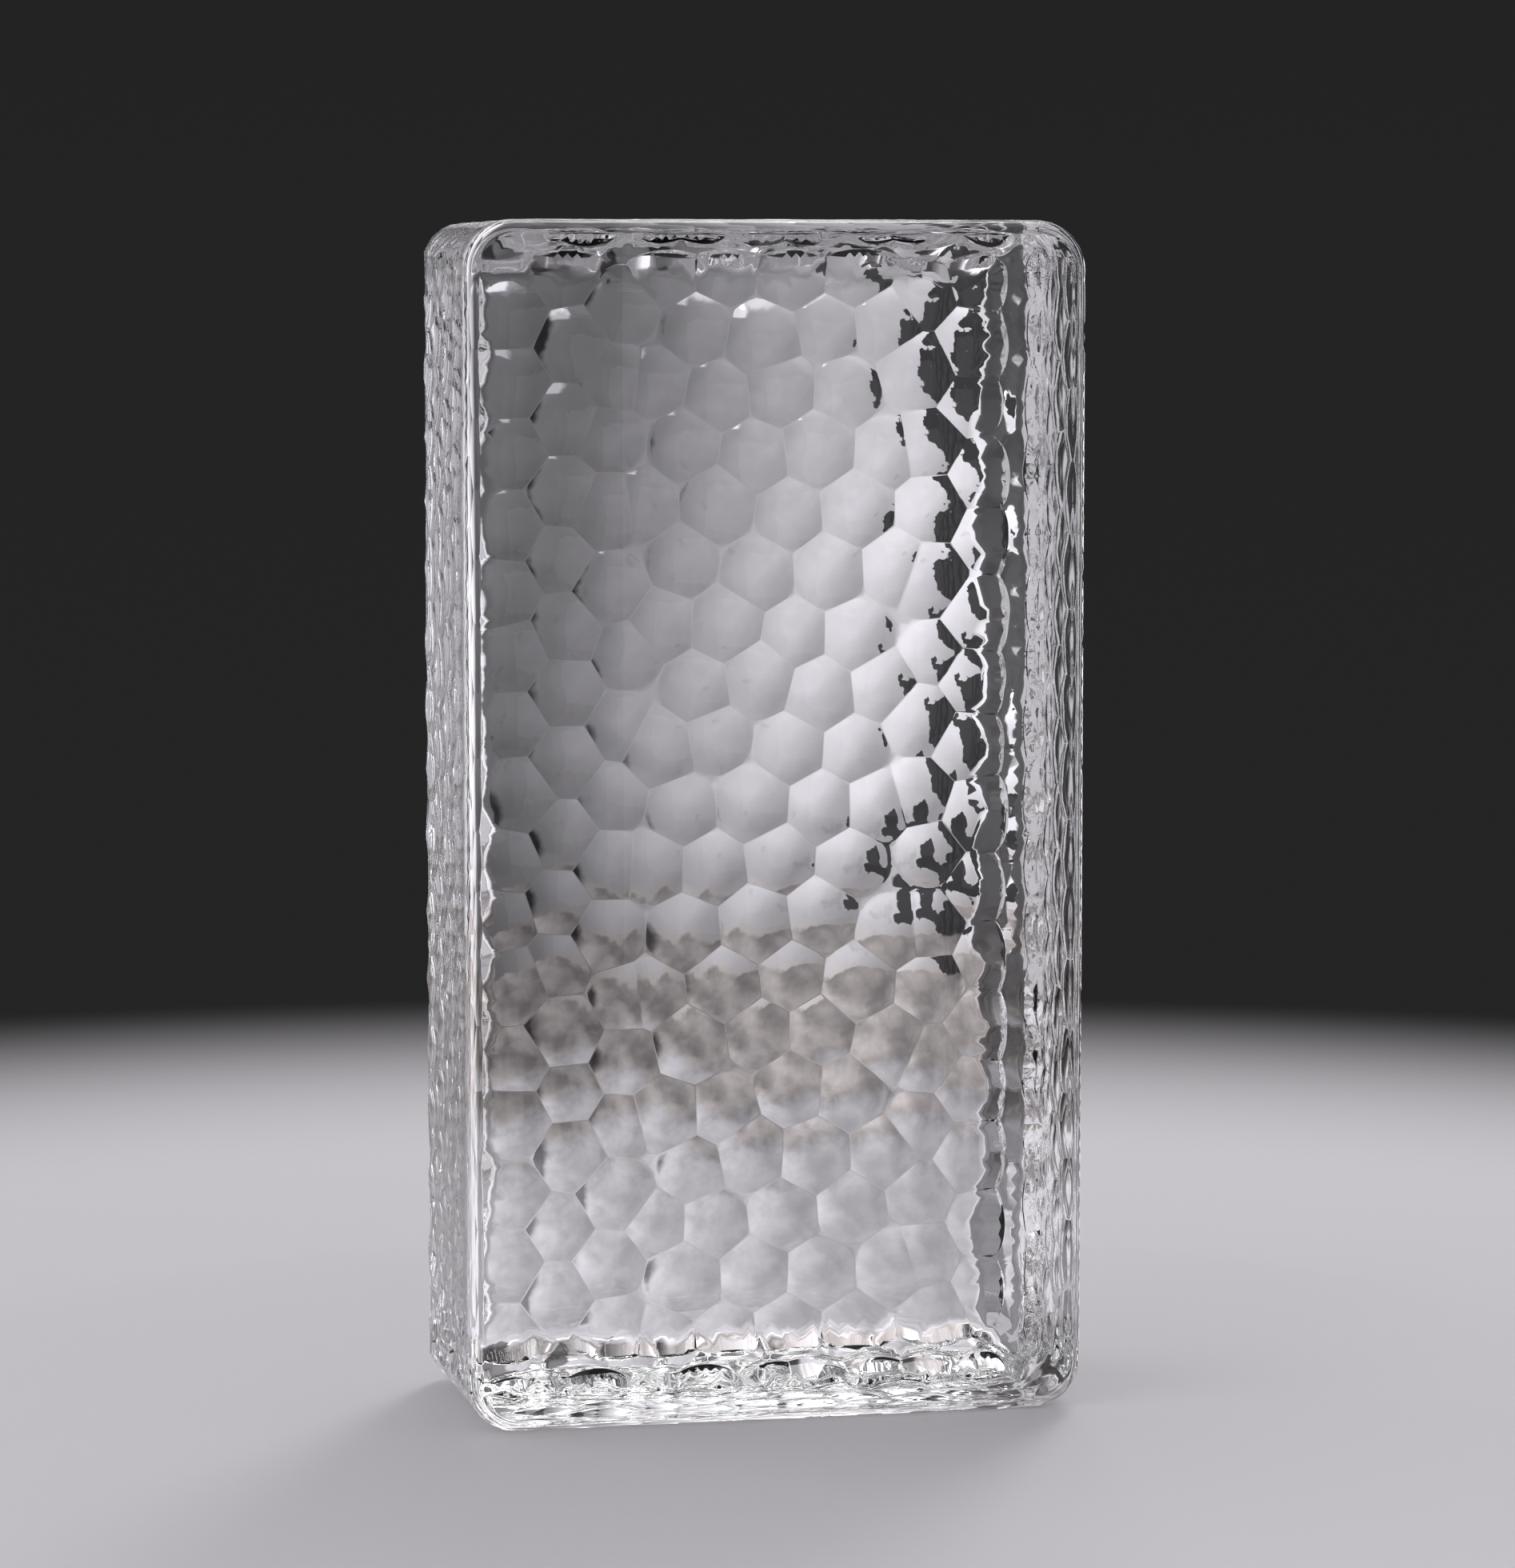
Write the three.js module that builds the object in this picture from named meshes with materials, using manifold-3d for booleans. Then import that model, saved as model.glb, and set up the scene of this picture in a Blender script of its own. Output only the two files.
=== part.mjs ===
// A solid cast-glass building block with one smooth face and a honeycomb of shallow dishes on its other five.
// Millimetres, +Z up. The block stands on one end, its smooth face is towards -Y, and the origin is under its middle.
import * as THREE from "three";
import { mergeVertices } from "three/addons/utils/BufferGeometryUtils.js";
import Module from "manifold-3d";

// The block.
const blockWidth = 100; // along X
const blockDepth = 50; // along Y, from the smooth face to the back
const blockHeight = 190; // along Z
const cornerRadius = 8; // the four edges that run from the smooth face to the back
const faceEdgeRadius = 2.5; // the edges round the smooth face
const backEdgeRadius = 7.6; // the edges round the back, at its corners
const sideEdgeRadius = 12; // the back's left and right edges
const endEdgeRadius = 12; // the back's upper and lower edges

// The honeycomb.
const cellPitch = 11.1; // from one cell to the next along a column, or along a row
const columnPitch = 8.6; // from one column to the next, a little closer than even hexagons would stand
const rowPitch = 9.7; // from one row to the next, where the cells stand in rows
const rowsFrom = -27.5; // they do in this part of the back's width, counted from its middle
const rowsTo = 15;
const dishDepth = 0.75; // from the wall down to the lowest point of a dish
const dishReach = 6.6; // from a dish's middle to where it comes up to the wall
const dishSpread = 0.12; // the most that a dish is deeper or shallower than that
const cellShift = 1.05; // the most that a cell's middle strays from its row and column, along each axis
const rowDrift = 1; // how far the rows and columns wander, in slow waves
const driftLength = 62; // from one such wave to the next
const edgeMargin = 2.1; // a cell's place in the even grid lies at most this far over a rounded edge
const faceMargin = 3; // the plain strip beside the smooth face

// The scoops along the back's rounded edges, each cut by a ball.
const scoopPitch = 9.6; // from one to the next along an edge
const scoopRadius = 14; // the ball's
const scoopDepth = 0.8;
const scoopSpread = 0.28; // the most that a scoop is deeper or shallower than that
const sideScoopTurn = 30; // degrees from straight back towards the side wall
const endScoopTurns = [27, 60]; // the same for the two rows on the upper and lower edges
const scoopTurnSpread = 7;

// How finely the round shapes are cut.
const cornerSteps = 5;
const faceEdgeSteps = 3;
const backEdgeSteps = 4;
const ballDetail = 3;

const toolFlare = 1.15; // a cell's tool is this much wider at its outer end, where it overlaps its neighbours
const dishRadius = dishReach ** 2 / (2 * dishDepth);
const halfWidth = blockWidth / 2;
const halfDepth = blockDepth / 2;
const middleHeight = blockHeight / 2;
const past = 2 * Math.max(faceEdgeRadius, backEdgeRadius, sideEdgeRadius, endEdgeRadius); // how far tools run on

const wasm = await Module();
wasm.setup();

function solidFrom(geometry) {
  const bare = geometry.clone();
  bare.deleteAttribute("normal");
  bare.deleteAttribute("uv");
  const welded = mergeVertices(bare, 1e-4);
  return new wasm.Manifold(
    new wasm.Mesh({
      numProp: 3,
      vertProperties: welded.attributes.position.array,
      triVerts: Uint32Array.from(welded.index.array),
    }),
  );
}

function geometryFrom(solid) {
  const { vertProperties, triVerts } = solid.getMesh();
  const geometry = new THREE.BufferGeometry();
  geometry.setAttribute("position", new THREE.BufferAttribute(vertProperties, 3));
  geometry.setIndex(new THREE.BufferAttribute(triVerts, 1));
  geometry.computeVertexNormals();
  return geometry;
}

// The blank: a rounded outline in the XZ plane with its own edge radius at each end, and rounder edges at the back.

function outline() {
  const r = Math.min(cornerRadius, halfWidth, middleHeight);
  const shape = new THREE.Shape();
  shape.moveTo(-halfWidth + r, 0);
  shape.lineTo(halfWidth - r, 0);
  shape.absarc(halfWidth - r, r, r, -Math.PI / 2, 0);
  shape.lineTo(halfWidth, blockHeight - r);
  shape.absarc(halfWidth - r, blockHeight - r, r, 0, Math.PI / 2);
  shape.lineTo(-halfWidth + r, blockHeight);
  shape.absarc(-halfWidth + r, blockHeight - r, r, Math.PI / 2, Math.PI);
  shape.lineTo(-halfWidth, r);
  shape.absarc(-halfWidth + r, r, r, Math.PI, Math.PI * 1.5);
  return shape;
}

// The outline from y = front to y = back, with both ends' edges rounded.
function roundedPrism(front, back, edgeRadius, edgeSteps) {
  const r = Math.min(edgeRadius, cornerRadius * 0.95, halfDepth);
  const geometry = new THREE.ExtrudeGeometry(outline(), {
    depth: back - front - 2 * r,
    curveSegments: cornerSteps,
    bevelThickness: r,
    bevelSize: r,
    bevelOffset: -r,
    bevelSegments: edgeSteps,
  });
  geometry.rotateX(Math.PI / 2);
  geometry.translate(0, back - r, 0);
  return solidFrom(geometry);
}

// A long bar with the back's two opposite edges rounded. Its section is drawn across the bar, with the back on the right.
function backRoundedBar(halfAcross, edgeRadius, halfLength) {
  const r = Math.min(edgeRadius, halfAcross, halfDepth);
  const section = new THREE.Shape();
  section.moveTo(-halfDepth - past, -halfAcross);
  section.lineTo(halfDepth - r, -halfAcross);
  section.absarc(halfDepth - r, -halfAcross + r, r, -Math.PI / 2, 0);
  section.lineTo(halfDepth, halfAcross - r);
  section.absarc(halfDepth - r, halfAcross - r, r, 0, Math.PI / 2);
  section.lineTo(-halfDepth - past, halfAcross);
  const geometry = new THREE.ExtrudeGeometry(section, {
    depth: 2 * halfLength,
    curveSegments: 2 * backEdgeSteps,
    bevelEnabled: false,
  });
  geometry.translate(0, 0, -halfLength);
  return geometry;
}

function blank() {
  const frontRounded = roundedPrism(-halfDepth, halfDepth + past, faceEdgeRadius, faceEdgeSteps);
  const backRounded = roundedPrism(-halfDepth - past, halfDepth, backEdgeRadius, backEdgeSteps);
  const lyingBar = backRoundedBar(middleHeight, endEdgeRadius, halfWidth + past);
  lyingBar.applyMatrix4(new THREE.Matrix4().set(0, 0, 1, 0, 1, 0, 0, 0, 0, 1, 0, middleHeight, 0, 0, 0, 1));
  const standingBar = backRoundedBar(halfWidth, sideEdgeRadius, middleHeight + past);
  standingBar.applyMatrix4(new THREE.Matrix4().set(0, -1, 0, 0, 1, 0, 0, 0, 0, 0, 1, middleHeight, 0, 0, 0, 1));
  return [backRounded, solidFrom(lyingBar), solidFrom(standingBar)].reduce(
    (glass, tool) => glass.intersect(tool),
    frontRounded,
  );
}

// The honeycomb. Each wall has axes u and v in its own plane, and a point of the wall is given as (u, v, depth).

function scatter(column, row, salt) {
  const wave = Math.sin(column * 12.9898 + row * 78.233 + salt * 37.719) * 43758.5453;
  return 2 * (wave - Math.floor(wave)) - 1; // from -1 to 1
}

function evenPlace(wall, column, row, inRows) {
  const half = (inRows ? row : column) % 2 ? 0.5 : 0;
  return inRows
    ? new THREE.Vector2(wall.rowPhase + (column + half) * cellPitch, row * rowPitch)
    : new THREE.Vector2(wall.phase[0] + column * columnPitch, wall.phase[1] + (row + half) * cellPitch);
}

// A cell's middle, as (u, v, depth of its lowest point).
function cellMiddle(wall, { x: u, y: v }, column, row) {
  const { salt } = wall;
  const turn = (2 * Math.PI) / driftLength;
  return new THREE.Vector3(
    u + rowDrift * Math.sin(turn * (v + 0.4 * u) + 2.1 * salt) + cellShift * scatter(column, row, salt),
    v + rowDrift * Math.sin(turn * (1.3 * u - 0.3 * v) + 1.7 * salt) + cellShift * scatter(row, column, salt + 0.5),
    dishDepth + dishSpread * scatter(column, row, salt + 0.2),
  );
}

// The cells in columns, then the ones in rows, which are left out where they would crowd a column.
function wallCells(wall) {
  const count = Math.ceil(Math.max(wall.width, wall.height) / 2 / columnPitch) + 1;
  const evenPlaces = [];
  const cells = [];
  for (const inRows of [false, true]) {
    for (let column = -count; column <= count; column++) {
      for (let row = -count; row <= count; row++) {
        const place = evenPlace(wall, column, row, inRows);
        const free = evenPlaces.every((other) => other.distanceTo(place) > cellPitch / 2);
        if (free && wall.holds(place) && inRows === standsInRows(wall, place)) {
          evenPlaces.push(place);
          cells.push(cellMiddle(wall, place, column, row));
        }
      }
    }
  }
  return cells;
}

function standsInRows(wall, place) {
  return wall.name === "back" && place.x > rowsFrom && place.x < rowsTo;
}

// Keeps the part of a polygon where way . point is at most limit.
function clipped(polygon, way, limit) {
  const over = polygon.map((point) => point.dot(way) - limit);
  return polygon.flatMap((point, i) => {
    const next = (i + 1) % polygon.length;
    const kept = over[i] <= 0 ? [point] : [];
    if (over[i] <= 0 !== over[next] <= 0) {
      kept.push(point.clone().lerp(polygon[next], over[i] / (over[i] - over[next])));
    }
    return kept;
  });
}

// The corners of a cell about its middle: where its dish is the deepest one, within its reach.
function cellCorners(wall, cells, own) {
  const reach = dishReach * 1.12;
  let polygon = Array.from({ length: 12 }, (_, i) => {
    const turn = (i * Math.PI) / 6;
    return new THREE.Vector2(reach * Math.cos(turn), reach * Math.sin(turn));
  });
  for (const other of cells) {
    const way = new THREE.Vector2(other.x - own.x, other.y - own.y);
    if (other !== own && way.length() < 2 * reach) {
      polygon = clipped(polygon, way, way.lengthSq() / 2 + dishRadius * (own.z - other.z));
    }
  }
  if (wall.faceWay) {
    const room = halfDepth - faceMargin - wall.faceWay.x * own.x - wall.faceWay.y * own.y;
    polygon = clipped(polygon, wall.faceWay, room);
  }
  const corners = polygon.map((corner) => {
    const depth = own.z - corner.lengthSq() / (2 * dishRadius);
    const placed = new THREE.Vector3(snapped(own.x + corner.x), snapped(own.y + corner.y), snapped(depth));
    if (wall.faceWay && wall.faceWay.dot(placed) > halfDepth - faceMargin - 0.01) placed.z = 0; // it ends on the plain strip
    return placed;
  });
  return corners.filter((corner, i) => corner.distanceTo(corners[(i + 1) % corners.length]) > 0.01);
}

// Rounded off, so that neighbours get the same numbers for the corners that they share.
function snapped(value) {
  return Math.round(value * 1000) / 1000;
}

// The tool that cuts one cell: a prism that comes in from outside, with the dish on its inner end.
function cellTool(wall, cells, own) {
  const corners = cellCorners(wall, cells, own);
  const raised = (point) => own.clone().lerp(point, toolFlare).setZ(-past);
  const triangles = corners.flatMap((corner, i) => {
    const next = corners[(i + 1) % corners.length];
    return [
      [own, next, corner],
      [raised(own), raised(corner), raised(next)],
      [corner, next, raised(corner)],
      [next, raised(next), raised(corner)],
    ];
  });
  const points = triangles.flat().map((p) => wall.place(p.x, p.y, p.z));
  return solidFrom(new THREE.BufferGeometry().setFromPoints(points));
}

// Whether a place on a side wall has a cell: across is its y, along runs along the wall from its middle.
function sideHolds(across, along, halfLength) {
  const inDepth = across > faceMargin + edgeMargin - halfDepth && across < halfDepth - backEdgeRadius + edgeMargin;
  return inDepth && Math.abs(along) < halfLength - cornerRadius + edgeMargin;
}

// From the back's outline inwards.
function outlineDistance(x, z) {
  const outX = Math.abs(x) - (halfWidth - cornerRadius);
  const outZ = Math.abs(z) - (middleHeight - cornerRadius);
  const beyond = Math.hypot(Math.max(outX, 0), Math.max(outZ, 0));
  return cornerRadius - Math.min(Math.max(outX, outZ), 0) - beyond;
}

// place turns a wall's (u, v, depth) into the block's own frame, with u, v and the way out right-handed.
const walls = [
  {
    name: "back",
    width: blockWidth,
    height: blockHeight,
    phase: [2.45, 3.1],
    rowPhase: -3.35,
    salt: 1,
    place: (u, v, depth) => new THREE.Vector3(-u, halfDepth - depth, middleHeight + v),
    holds: ({ x, y }) => outlineDistance(x, y) > backEdgeRadius - edgeMargin,
  },
  {
    name: "left",
    width: blockDepth,
    height: blockHeight,
    phase: [0, 0],
    rowPhase: 0,
    salt: 2,
    place: (u, v, depth) => new THREE.Vector3(-halfWidth + depth, -u, middleHeight + v),
    holds: ({ x, y }) => sideHolds(-x, y, middleHeight),
    faceWay: new THREE.Vector2(1, 0),
  },
  {
    name: "right",
    width: blockDepth,
    height: blockHeight,
    phase: [0, 0],
    rowPhase: 0,
    salt: 3,
    place: (u, v, depth) => new THREE.Vector3(halfWidth - depth, u, middleHeight + v),
    holds: ({ x, y }) => sideHolds(x, y, middleHeight),
    faceWay: new THREE.Vector2(-1, 0),
  },
  {
    name: "top",
    width: blockWidth,
    height: blockDepth,
    phase: [0, 0],
    rowPhase: 0,
    salt: 4,
    place: (u, v, depth) => new THREE.Vector3(u, v, blockHeight - depth),
    holds: ({ x, y }) => sideHolds(y, x, halfWidth),
    faceWay: new THREE.Vector2(0, -1),
  },
  {
    name: "bottom",
    width: blockWidth,
    height: blockDepth,
    phase: [0, 0],
    rowPhase: 0,
    salt: 5,
    place: (u, v, depth) => new THREE.Vector3(u, -v, depth),
    holds: ({ x, y }) => sideHolds(-y, x, halfWidth),
    faceWay: new THREE.Vector2(0, 1),
  },
];

// The scoops.

// One row, along the axis of a rounded edge from start to end. side is the way from that axis to its side wall.
function scoopRow(start, end, side, edgeRadius, turn, salt) {
  const count = Math.round(start.distanceTo(end) / scoopPitch);
  return Array.from({ length: count }, (_, n) => {
    const along = (n + 0.5 + 0.2 * scatter(n, 3, salt)) / count;
    const tilt = THREE.MathUtils.degToRad(turn + scoopTurnSpread * scatter(n, 7, salt));
    const lift = edgeRadius + scoopRadius - scoopDepth - scoopSpread * scatter(n, 11, salt);
    const way = side.clone().multiplyScalar(Math.sin(tilt));
    way.y += Math.cos(tilt);
    const middle = start.clone().lerp(end, along).addScaledVector(way, lift);
    const ball = new THREE.IcosahedronGeometry(scoopRadius, ballDetail);
    ball.translate(middle.x, middle.y, middle.z);
    return solidFrom(ball);
  });
}

function scoopTools() {
  const sideX = halfWidth - sideEdgeRadius;
  const sideY = halfDepth - sideEdgeRadius;
  const endX = halfWidth - cornerRadius;
  const endY = halfDepth - endEdgeRadius;
  const endZ = middleHeight - endEdgeRadius;
  return [-1, 1].flatMap((sign) => [
    ...scoopRow(
      new THREE.Vector3(sign * sideX, sideY, cornerRadius),
      new THREE.Vector3(sign * sideX, sideY, blockHeight - cornerRadius),
      new THREE.Vector3(sign, 0, 0),
      sideEdgeRadius,
      sideScoopTurn,
      6 + sign,
    ),
    ...endScoopTurns.flatMap((turn, n) =>
      scoopRow(
        new THREE.Vector3(4 * n - endX, endY, middleHeight + sign * endZ),
        new THREE.Vector3(4 * n + endX, endY, middleHeight + sign * endZ),
        new THREE.Vector3(0, 0, sign),
        endEdgeRadius,
        turn,
        9 + sign + 0.4 * n,
      ),
    ),
  ]);
}

function castBlock() {
  const cellTools = walls.flatMap((wall) => {
    const cells = wallCells(wall);
    return cells.map((own) => cellTool(wall, cells, own));
  });
  return blank().subtract(wasm.Manifold.union([...cellTools, ...scoopTools()]));
}

const clearGlass = new THREE.MeshStandardMaterial({
  color: 0xeef3f3,
  roughness: 0.04,
  metalness: 0,
  transparent: true,
  opacity: 0.35,
});

const block = new THREE.Mesh(geometryFrom(castBlock()), clearGlass);
block.name = "glass_block";

const part = new THREE.Group();
part.add(block);

export default part;
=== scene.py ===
import math
import bpy
import numpy as np
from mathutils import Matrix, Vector
from mathutils.geometry import delaunay_2d_cdt


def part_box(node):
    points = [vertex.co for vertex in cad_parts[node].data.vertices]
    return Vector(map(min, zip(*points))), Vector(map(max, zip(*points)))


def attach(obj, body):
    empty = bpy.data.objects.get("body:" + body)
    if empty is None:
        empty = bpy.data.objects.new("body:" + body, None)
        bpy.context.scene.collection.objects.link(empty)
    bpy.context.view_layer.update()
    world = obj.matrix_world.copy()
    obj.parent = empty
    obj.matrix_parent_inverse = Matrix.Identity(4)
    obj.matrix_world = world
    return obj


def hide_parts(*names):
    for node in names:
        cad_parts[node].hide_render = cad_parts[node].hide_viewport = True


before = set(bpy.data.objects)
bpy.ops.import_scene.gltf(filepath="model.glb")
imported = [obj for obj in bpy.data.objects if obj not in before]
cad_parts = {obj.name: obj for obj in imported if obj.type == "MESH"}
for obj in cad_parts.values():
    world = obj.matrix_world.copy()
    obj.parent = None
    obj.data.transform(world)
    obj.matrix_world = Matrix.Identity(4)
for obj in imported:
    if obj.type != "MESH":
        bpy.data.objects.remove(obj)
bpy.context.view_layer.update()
mm = 0.001
scene = bpy.context.scene
print("frame loaded")

# The cast block. Every length below is in millimetres.

block = {
    "cornerRadius": 8.0,      # edges that run from the smooth face to the back
    "faceEdgeRadius": 2.5,    # round the smooth face
    "backEdgeRadius": 7.6,    # round the back, at its corners
    "sideEdgeRadius": 12.0,   # its left and right edges
    "endEdgeRadius": 12.0,    # its upper and lower edges
    "cellPitch": 11.1,        # along a column or a row of cells
    "columnPitch": 8.6,       # column to column
    "rowPitch": 9.7,          # row to row, where the cells stand in rows
    "rowStrip": (-27.5, 15),  # that part of the back's width
    "cellShift": 1.05,        # how far a cell sits off the even lattice
    "drift": 1.0,             # slow drift of the whole lattice
    "driftLength": 62.0,
    "driftWays": ((0.4, 1.0, 2.1), (1.3, -0.3, 1.7)),  # along u and v, and a start for each wall
    "dishDepth": 0.75,
    "dishReach": 6.6,         # from a dish's middle to where it comes up to the wall
    "depthSpread": 0.12,      # cells differ a little in depth
    "edgeMargin": 2.1,        # a cell's even place may lie this far over a rounded edge
    "faceStart": 5.5,         # cells die away towards the smooth face
    "faceEnd": 1.6,
    "ridgeRound": 0.05,       # softness of the ridges between cells
    "rimRound": 0.10,         # softness where a cell runs out on the plain skin
    "scoopRound": 0.25,       # the same where a scoop does
    "wobble": 0.13,           # slow unevenness of the cast skin
    "wobbleLength": 15.0,
    "wobbleWaves": (          # strength, then two sines: turns along x, y and z, and a start
        (1.0, (1.0, 0.7, 0.0, 1.3), (-0.5, 0.0, 0.9, 0.4)),
        (1.0, (0.0, 0.8, -1.1, 2.1), (1.2, 0.0, 0.6, 0.0)),
        (0.6, (0.0, 0.9, 1.7, 0.0), (1.6, -1.3, 0.0, 0.8)),
    ),
    "wobblePeak": 2.2,        # the highest that these waves add up to
    "scoopPitch": 9.6,        # shallow scoops along the rounded edges of the back
    "scoopRadius": 14.0,
    "scoopDepth": 0.8,
    "scoopShift": 0.2,        # scoops differ in place, by this share of the pitch,
    "scoopTilt": 7,           # in tilt, by these degrees,
    "scoopSpread": 0.35,      # and in depth
    "sideScoopTurn": 30,      # degrees from straight back towards the side wall
    "endScoopTurns": (27, 60),
    "endScoopShift": 4,       # the second row of an end lies this far along
}

meshing = {
    "step": 1.5,              # along ridges and over the plain skin
    "rings": (                # share of the way from a cell's middle to its border, and how coarse
        (1, 1), (0.987, 1), (0.975, 1), (0.96, 1), (0.89, 1.3), (0.75, 1.7), (0.5, 2.6), (0.22, 6),
    ),
    "shortestRing": 0.8,      # inner rings keep as many points as one of this share
    "cornerSteps": 10,
    "seamSteps": 6,           # points down a corner seam's rounded ends
    "seamClear": 0.45,        # free strip beside a seam
    "weld": 0.0001,
    "searchSteps": 24,        # halvings to find where a dish runs out
    "slopeStep": 0.01,        # to either side, where a slope is taken
    "wobbleStep": 0.05,
    "faceStep": 9.0,
    "faceRims": (54, 63, 72, 81, 90),  # degrees up the smooth face's rounded edge
}

low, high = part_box("glass_block")
width, depth, height = [round((b - a) / mm, 3) for a, b in zip(low, high)]
cornerRadius = block["cornerRadius"]
faceRadius = block["faceEdgeRadius"]
backRadius = block["backEdgeRadius"]
sideRadius = block["sideEdgeRadius"]
endRadius = block["endEdgeRadius"]
dishRadius = block["dishReach"] ** 2 / (2 * block["dishDepth"])
diagonal = math.sqrt(0.5)
faceSeamInset = faceRadius * (1 - diagonal)
backSeamInset = backRadius * (1 - diagonal)
faceSeamY = -depth / 2 + faceSeamInset
backSeamY = depth / 2 - backSeamInset
scatterSeeds = (12.9898, 78.233, 37.719, 43758.5453)
farUnder = -90.0  # below any dish or scoop


def scatter(column, row, salt):  # from -1 to 1, the same every run
    byColumn, byRow, bySalt, stretch = scatterSeeds
    wave = np.sin(column * byColumn + row * byRow + salt * bySalt) * stretch
    return 2 * (wave - np.floor(wave)) - 1


def evenCentre(wall, column, row, inRows):
    if inRows:
        return wall["rowPhase"] + (column + 0.5 * (row % 2)) * block["cellPitch"], row * block["rowPitch"]
    u = wall["phase"][0] + column * block["columnPitch"]
    v = wall["phase"][1] + (row + 0.5 * (column % 2)) * block["cellPitch"]
    return u, v


def cellCentre(wall, even, column, row):
    u, v = even
    turn = 2 * math.pi / block["driftLength"]
    driftU, driftV = [
        block["drift"] * np.sin(turn * (byU * u + byV * v) + start * wall["salt"])
        for byU, byV, start in block["driftWays"]
    ]
    shiftU = block["cellShift"] * scatter(column, row, wall["salt"])
    shiftV = block["cellShift"] * scatter(row, column, wall["salt"] + 0.5)
    return u + driftU + shiftU, v + driftV + shiftV


def profileInset(y):  # how far the rounded edges of face and back draw the outline in
    front = np.clip(faceRadius - depth / 2 - y, 0, faceRadius)
    back = np.clip(y - depth / 2 + backRadius, 0, backRadius)
    roundFront = faceRadius - np.sqrt(faceRadius ** 2 - front ** 2)
    return roundFront + backRadius - np.sqrt(backRadius ** 2 - back ** 2)


def sideRecession(y, along, halfLength):  # how far the plain blank lies under a side wall's plane
    inset = profileInset(y)
    radius = cornerRadius - inset
    across = np.clip(np.abs(along) - (halfLength - cornerRadius), 0, radius)
    return inset + radius - np.sqrt(radius ** 2 - across ** 2)


def outlineDistance(x, z):  # from the outline inwards, z from mid height
    outX = np.abs(x) - (width / 2 - cornerRadius)
    outZ = np.abs(z) - (height / 2 - cornerRadius)
    beyond = np.hypot(np.maximum(outX, 0), np.maximum(outZ, 0))
    return cornerRadius - np.minimum(np.maximum(outX, outZ), 0) - beyond


def endRecession(x, z, radius):
    reach = np.clip(radius - outlineDistance(x, z), 0, radius)
    return radius - np.sqrt(radius ** 2 - reach ** 2)


def makeWalls():
    halfW, halfD, halfH = width / 2, depth / 2, height / 2
    left = {
        "turn": 180, "salt": 2, "half": halfH,
        "place": lambda u, v, d: (d - halfW, -u, halfH + v),
        "plane": lambda x, y, z: (-y, z - halfH),
        "split": lambda u, v: (-u, v),
    }
    right = {
        "turn": 0, "salt": 3, "half": halfH,
        "place": lambda u, v, d: (halfW - d, u, halfH + v),
        "plane": lambda x, y, z: (y, z - halfH),
        "split": lambda u, v: (u, v),
    }
    top = {
        "turn": 90, "salt": 4, "half": halfW,
        "place": lambda u, v, d: (u, v, height - d),
        "plane": lambda x, y, z: (x, y),
        "split": lambda u, v: (v, u),
    }
    bottom = {
        "turn": 270, "salt": 5, "half": halfW,
        "place": lambda u, v, d: (u, -v, d + 0 * u),
        "plane": lambda x, y, z: (x, -y),
        "split": lambda u, v: (-v, u),
    }
    for wall in (left, right, top, bottom):
        wall["kind"] = "side"
        wall["phase"] = (0, 0)
        wall["rowPhase"] = 0
    left["size"] = right["size"] = (depth, height)
    top["size"] = bottom["size"] = (width, depth)
    back = {
        "kind": "back", "phase": (2.45, 3.1), "rowPhase": -3.35, "salt": 1, "size": (width, height),
        "place": lambda u, v, d: (-u, halfD - d, halfH + v),
        "plane": lambda x, y, z: (-x, z - halfH),
    }
    face = {
        "kind": "face", "size": (width, height),
        "place": lambda u, v, d: (u, d - halfD, halfH + v),
        "plane": lambda x, y, z: (x, z - halfH),
    }
    for wall in (left, right, top, bottom, back):
        wall["cells"] = makeCells(wall)
    return [left, right, top, bottom, back, face]


def hasCell(wall, u, v):  # a cell is left out where its middle would lie on a rounded edge
    margin = block["edgeMargin"]
    if wall["kind"] == "back":
        return outlineDistance(u, v) > backRadius - margin
    y, along = wall["split"](u, v)
    onLength = abs(along) < wall["half"] - cornerRadius + margin
    return onLength and block["faceStart"] - depth / 2 < y < depth / 2 - backRadius + margin


def makeCells(wall):  # the middle and the lowest depth of each cell
    count = math.ceil(max(wall["size"]) / 2 / block["columnPitch"]) + 1
    evens, cells = [], []
    for inRows in (False, True):
        for column in range(-count, count + 1):
            for row in range(-count, count + 1):
                even = evenCentre(wall, column, row, inRows)
                free = all(math.dist(even, other) > block["cellPitch"] / 2 for other in evens)
                if free and hasCell(wall, *even) and inRows == standsInRows(wall, even):
                    evens.append(even)
                    deeper = block["depthSpread"] * scatter(column, row, wall["salt"] + 0.2)
                    cells.append((*cellCentre(wall, even, column, row), block["dishDepth"] + deeper))
    return np.array(cells)


def standsInRows(wall, even):
    start, end = block["rowStrip"]
    return wall["kind"] == "back" and start < even[0] < end


def softened(gap, soft):  # what rounding off takes away where two surfaces are this close
    near = np.maximum(soft - np.abs(gap), 0) / soft
    return near ** 2 * soft / 4


def dishField(wall, u, v):  # depth of the cells under the wall's plane
    first = np.full(u.shape, farUnder)
    second = np.full(u.shape, farUnder)
    for middleU, middleV, lowest in wall["cells"]:
        dish = lowest - ((u - middleU) ** 2 + (v - middleV) ** 2) / (2 * dishRadius)
        second = np.maximum(second, np.minimum(first, dish))
        first = np.maximum(first, dish)
    return first + softened(first - second, block["ridgeRound"])


def smoothRise(value, start, end):  # 0 at start, 1 at end
    share = np.clip((value - start) / (end - start), 0, 1)
    return share * share * (3 - 2 * share)


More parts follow.
